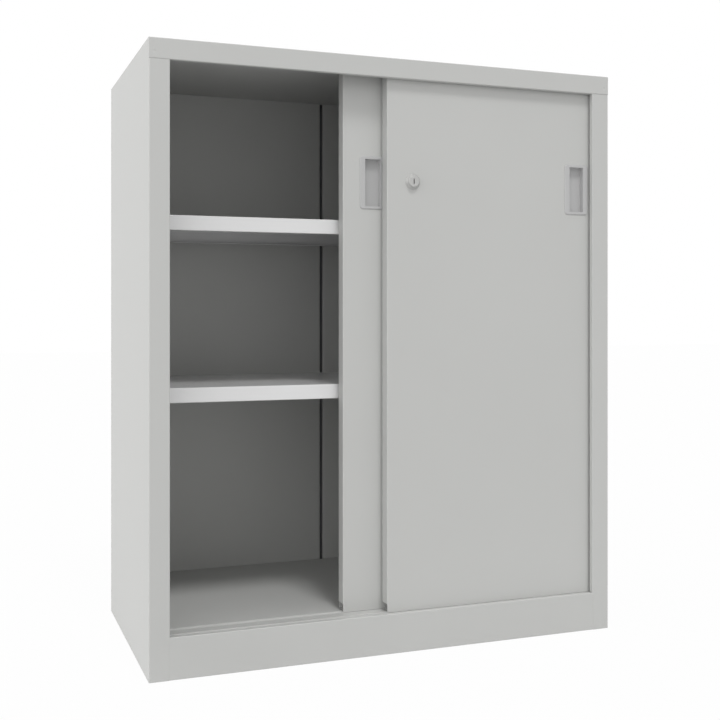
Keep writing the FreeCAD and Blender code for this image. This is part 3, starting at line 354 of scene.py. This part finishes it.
dressing = {
    "merge": 0.002 * mm,    # loose triangle corners that belong together
    "flat": math.radians(0.5),
    "sharp": math.radians(38),
    "smooth": math.radians(34),
    "faceWeight": 100,      # large faces set the shading at their edges
    "edgeRings": 2,
    "edges": {              # pieces with other finishes stay as they are, in their own material
        "grey_enamel": 0.10 * mm,
        "light_grey_enamel": 0.10 * mm,
        "grey_moulding": 0.5 * mm,
        "lock_nickel": 0.15 * mm,
    },
}


def applyModifier(piece, kind, **settings):
    modifier = piece.modifiers.new(kind.lower(), kind)
    for name, value in settings.items():
        setattr(modifier, name, value)
    bpy.context.view_layer.objects.active = piece
    bpy.ops.object.modifier_apply(modifier=modifier.name)


def easeEdges(piece, width):
    applyModifier(piece, "BEVEL", width=width, segments=dressing["edgeRings"], limit_method="ANGLE",
                  angle_limit=dressing["sharp"], use_clamp_overlap=True)


def selectOnly(piece):
    bpy.ops.object.select_all(action="DESELECT")
    piece.select_set(True)
    bpy.context.view_layer.objects.active = piece


def copyNode(node, name):
    piece = bpy.data.objects.new(name, nodes[node].data.copy())
    bpy.context.scene.collection.objects.link(piece)
    selectOnly(piece)
    bpy.ops.mesh.customdata_custom_splitnormals_clear()
    bpy.ops.object.mode_set(mode="EDIT")
    bpy.ops.mesh.select_all(action="SELECT")
    bpy.ops.mesh.remove_doubles(threshold=dressing["merge"])
    bpy.ops.mesh.dissolve_limited(angle_limit=dressing["flat"])
    bpy.ops.object.mode_set(mode="OBJECT")
    return piece


def addBlock(name, low, high):
    middle = [(start + end) / 2 for start, end in zip(low, high)]
    bpy.ops.mesh.primitive_cube_add(size=1, location=middle)
    piece = bpy.context.object
    piece.name = name
    piece.scale = [end - start for start, end in zip(low, high)]
    bpy.ops.object.transform_apply(location=True, rotation=True, scale=True)
    return piece


def settle(piece, body, slotName, *stoodFor):
    selectOnly(piece)
    bpy.ops.object.shade_smooth_by_angle(angle=dressing["smooth"])
    applyModifier(piece, "WEIGHTED_NORMAL", keep_sharp=True, weight=dressing["faceWeight"])
    piece.data.materials.clear()
    piece.data.materials.append(finish[slotName])
    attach(piece, body)
    if stoodFor:
        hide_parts(*stoodFor)
    piece.select_set(False)


# Spot welds show through the paint as shallow dimples: one at each end of the top's lip, and a row
# down each flange that the back is welded to

spotWelds = {
    "radius": 3.0 * mm,
    "depth": 0.45 * mm,
    "segments": 24,
    "rings": 64,
    "pitch": 140 * mm,
    "lipFromSide": 9.7 * mm,
    "lipFromBelow": 12 * mm,
    "flangeFromSide": 11 * mm,
    "flangeFromTop": 9 * mm,
    "rowFromEnd": 60 * mm,
}


def weldRow(start, end):
    length = end - start - 2 * spotWelds["rowFromEnd"]
    count = round(length / spotWelds["pitch"])
    return [start + spotWelds["rowFromEnd"] + length * index / count for index in range(count + 1)]


def weldPlaces():
    low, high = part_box("top_panel")
    lipHeight = low.z + spotWelds["lipFromBelow"]
    flangeHeight = high.z - spotWelds["flangeFromTop"]
    lipEnd = high.x - spotWelds["lipFromSide"]
    places = {"top_panel": [(x, low.y, lipHeight) for x in (-lipEnd, lipEnd)]}
    places["top_panel"] += [(x, high.y, flangeHeight) for x in weldRow(low.x, high.x)]
    for name, side in (("left_side_panel", -1), ("right_side_panel", 1)):
        low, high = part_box(name)
        x = side * (max(-low.x, high.x) - spotWelds["flangeFromSide"])
        places[name] = [(x, high.y, z) for z in weldRow(low.z, high.z)]
    return places


# The electrode's tip is a part of a ball, which is pressed in from outside, front or back
def sinkWelds(piece, places):
    depth = spotWelds["depth"]
    ball = (spotWelds["radius"] ** 2 + depth ** 2) / (2 * depth)
    tips = []
    for x, y, z in places:
        bpy.ops.mesh.primitive_uv_sphere_add(
            segments=spotWelds["segments"], ring_count=spotWelds["rings"], radius=ball,
            location=(x, y + math.copysign(ball - depth, y), z), rotation=(math.pi / 2, 0, 0))
        tips.append(bpy.context.object)
    for tip in tips:
        tip.select_set(True)
    bpy.ops.object.join()
    stamp = bpy.context.object
    applyModifier(piece, "BOOLEAN", operation="DIFFERENCE", solver="EXACT", object=stamp)
    bpy.data.objects.remove(stamp)


weldsOf = weldPlaces()


def dress(node):
    words = node.split("_")
    piece = copyNode(node, words[0] + "".join(word.title() for word in words[1:]))
    easeEdges(piece, dressing["edges"][slotOf[node]])
    if node in weldsOf:
        sinkWelds(piece, weldsOf[node])
    settle(piece, nodes[node]["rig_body"], slotOf[node], node)


for node in sorted(nodes):
    if slotOf[node] in dressing["edges"]:
        dress(node)
    else:
        # Nodes in other finishes keep their own mesh; the back cover strip's black rubber is painted
        # shade behind the back's joint
        nodes[node].material_slots[0].material = finish[slotOf[node]]


# The lock's spring is dressed as a copy that has a mesh of its own
def dressSpring():
    piece = copyNode("lock_spring", "lockSpring")
    settle(piece, "front_door", "spring_steel", "lock_spring")
    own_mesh(piece)


dressSpring()
print("nodes dressed")


# Painted shade: a short black end piece in the back's joint, above the cover strip, keeps the joint dark
# up to the top

jointShadeEnd = {
    "sideRoom": 0.2 * mm,
    "topRoom": 0.3 * mm,
    "thickness": 1.3 * mm,
    "behindStrip": 0.3 * mm,   # its back lies this far behind the strip's front
    "round": 0.5 * mm,
    "rings": 3,
}


def makeJointShadeEnd():
    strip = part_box("back_cover_strip")
    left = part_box("left_back_panel")[1].x + jointShadeEnd["sideRoom"]
    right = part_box("right_back_panel")[0].x - jointShadeEnd["sideRoom"]
    back = strip[0].y + jointShadeEnd["behindStrip"]
    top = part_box("left_back_panel")[1].z - jointShadeEnd["topRoom"]
    piece = addBlock("backSealEnd", (left, back - jointShadeEnd["thickness"], strip[1].z), (right, back, top))
    bpy.ops.object.mode_set(mode="EDIT")
    bpy.ops.mesh.select_all(action="SELECT")
    bpy.ops.mesh.bevel(offset=jointShadeEnd["round"], segments=jointShadeEnd["rings"])
    bpy.ops.object.mode_set(mode="OBJECT")
    # The black here is painted shade for the joint
    settle(piece, "carcass", "black_rubber")


makeJointShadeEnd()


# Outside, a painted steel cover with turned edges lies over the strip

backCover = {
    "gap": 0.05 * mm,
    "thickness": 0.5 * mm,
    "lip": 3.0 * mm,           # the edge that slopes down to the back on each side
    "drop": 0.3 * mm,
    "edge": 0.08 * mm,
}


def makeBackCover():
    low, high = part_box("back_cover_strip")
    front = high.y + backCover["gap"]
    back = front + backCover["thickness"]
    folds = (low.x + backCover["lip"], high.x - backCover["lip"])
    piece = addBlock("backCover", (low.x, front, low.z), (high.x, back, high.z))
    bpy.ops.object.mode_set(mode="EDIT")
    for fold in folds:
        bpy.ops.mesh.select_all(action="SELECT")
        bpy.ops.mesh.bisect(plane_co=(fold, 0, 0), plane_no=(1, 0, 0))
    bpy.ops.object.mode_set(mode="OBJECT")
    for vertex in piece.data.vertices:
        outside = min(abs(vertex.co.x - low.x), abs(vertex.co.x - high.x)) < backCover["lip"] / 2
        vertex.select = outside and vertex.co.y > (front + back) / 2
    bpy.ops.object.mode_set(mode="EDIT")
    bpy.ops.mesh.select_mode(type="VERT")
    bpy.ops.transform.translate(value=(0, -backCover["drop"], 0))
    bpy.ops.object.mode_set(mode="OBJECT")
    easeEdges(piece, backCover["edge"])
    settle(piece, "carcass", "grey_enamel")


makeBackCover()
print("back finished")


# Studio: pale floor and white world, a main lamp high in front, two broad ones at the left

studio = {
    "skyLevel": 0.55,            # plain light from all round
    "floorColour": (0.70, 0.70, 0.70, 1),
    "floorGlow": 0.97,           # how much of the floor's look is plain white to the camera
    "floorReach": 14.0,          # metres, from the middle to each side
    "floorDrop": 0.2 * mm,
    "lamps": {
        # name: where it stands, as seen from the cabinet, its spread in degrees, its strength
        "mainLamp": ((0.05, -1.0, 1.73), 14.0, 1.12),
        "leftFrontLamp": ((-1.0, -0.9, 0.45), 60.0, 0.50),
        "leftLamp": ((-1.0, 0.1, 0.35), 60.0, 1.12),
    },
}


def seenDirectly(tree, x, y):
    path = addNode(tree, "ShaderNodeLightPath", x, y)
    seen = path.outputs["Is Camera Ray"]
    for step, name in enumerate(("Is Glossy Ray", "Is Transmission Ray"), 1):
        seen = combine(tree, x + 200 * step, y, "MAXIMUM", seen, path.outputs[name])
    return seen


def makeFloor():
    height = cadBox[0].z - studio["floorDrop"]
    bpy.ops.mesh.primitive_plane_add(size=2 * studio["floorReach"], location=(0, 0, height))
    floor = bpy.context.object
    floor.name = "studioFloor"
    material = bpy.data.materials.new("studioFloor")
    material.use_nodes = True
    tree = material.node_tree
    tree.nodes.clear()
    diffuse = addNode(tree, "ShaderNodeBsdfDiffuse", 0, 100)
    diffuse.inputs["Color"].default_value = studio["floorColour"]
    glow = addNode(tree, "ShaderNodeEmission", 0, -100)
    share = addNode(tree, "ShaderNodeMath", 0, 300, operation="MULTIPLY")
    share.inputs[1].default_value = studio["floorGlow"]
    tree.links.new(seenDirectly(tree, -600, 300), share.inputs[0])
    blend = addNode(tree, "ShaderNodeMixShader", 250, 0)
    tree.links.new(share.outputs[0], blend.inputs[0])
    tree.links.new(diffuse.outputs[0], blend.inputs[1])
    tree.links.new(glow.outputs[0], blend.inputs[2])
    end = addNode(tree, "ShaderNodeOutputMaterial", 500, 0)
    tree.links.new(blend.outputs[0], end.inputs["Surface"])
    floor.data.materials.append(material)
    floor.select_set(False)


def makeWorld():
    world = bpy.data.worlds.new("studioWorld")
    world.use_nodes = True
    bpy.context.scene.world = world
    tree = world.node_tree
    sky = tree.nodes["Background"]
    level = rescale(tree, -200, 0, seenDirectly(tree, -900, 0), 0.0, 1.0, studio["skyLevel"], 1.0)
    sky.inputs["Color"].default_value = (1, 1, 1, 1)
    tree.links.new(level, sky.inputs["Strength"])


def makeLamp(name, place, spread, strength):
    data = bpy.data.lights.new(name, "SUN")
    data.angle = math.radians(spread)
    data.energy = strength
    lamp = bpy.data.objects.new(name, data)
    bpy.context.scene.collection.objects.link(lamp)
    lamp.location = place
    lamp.rotation_euler = Vector(place).to_track_quat("Z", "Y").to_euler()


makeFloor()
makeWorld()
for name, (place, spread, strength) in studio["lamps"].items():
    makeLamp(name, place, spread, strength)


# Camera: level, a little left of the cabinet

cameraSetting = {
    "place": (-0.76636, -2.00454, 0.63324),
    "turn": (90.0, 0.0, -19.862),
    "sensor": 36.0,
    "lens": 52.373,
    "shift": (0.03722, -0.06966),
}


def makeCamera():
    data = bpy.data.cameras.new("studioCamera")
    data.sensor_width = cameraSetting["sensor"]
    data.lens = cameraSetting["lens"]
    data.shift_x, data.shift_y = cameraSetting["shift"]
    camera = bpy.data.objects.new("studioCamera", data)
    bpy.context.scene.collection.objects.link(camera)
    camera.location = cameraSetting["place"]
    camera.rotation_euler = [math.radians(angle) for angle in cameraSetting["turn"]]
    bpy.context.scene.camera = camera


makeCamera()
bpy.context.scene.view_settings.view_transform = "Standard"
print("studio set")
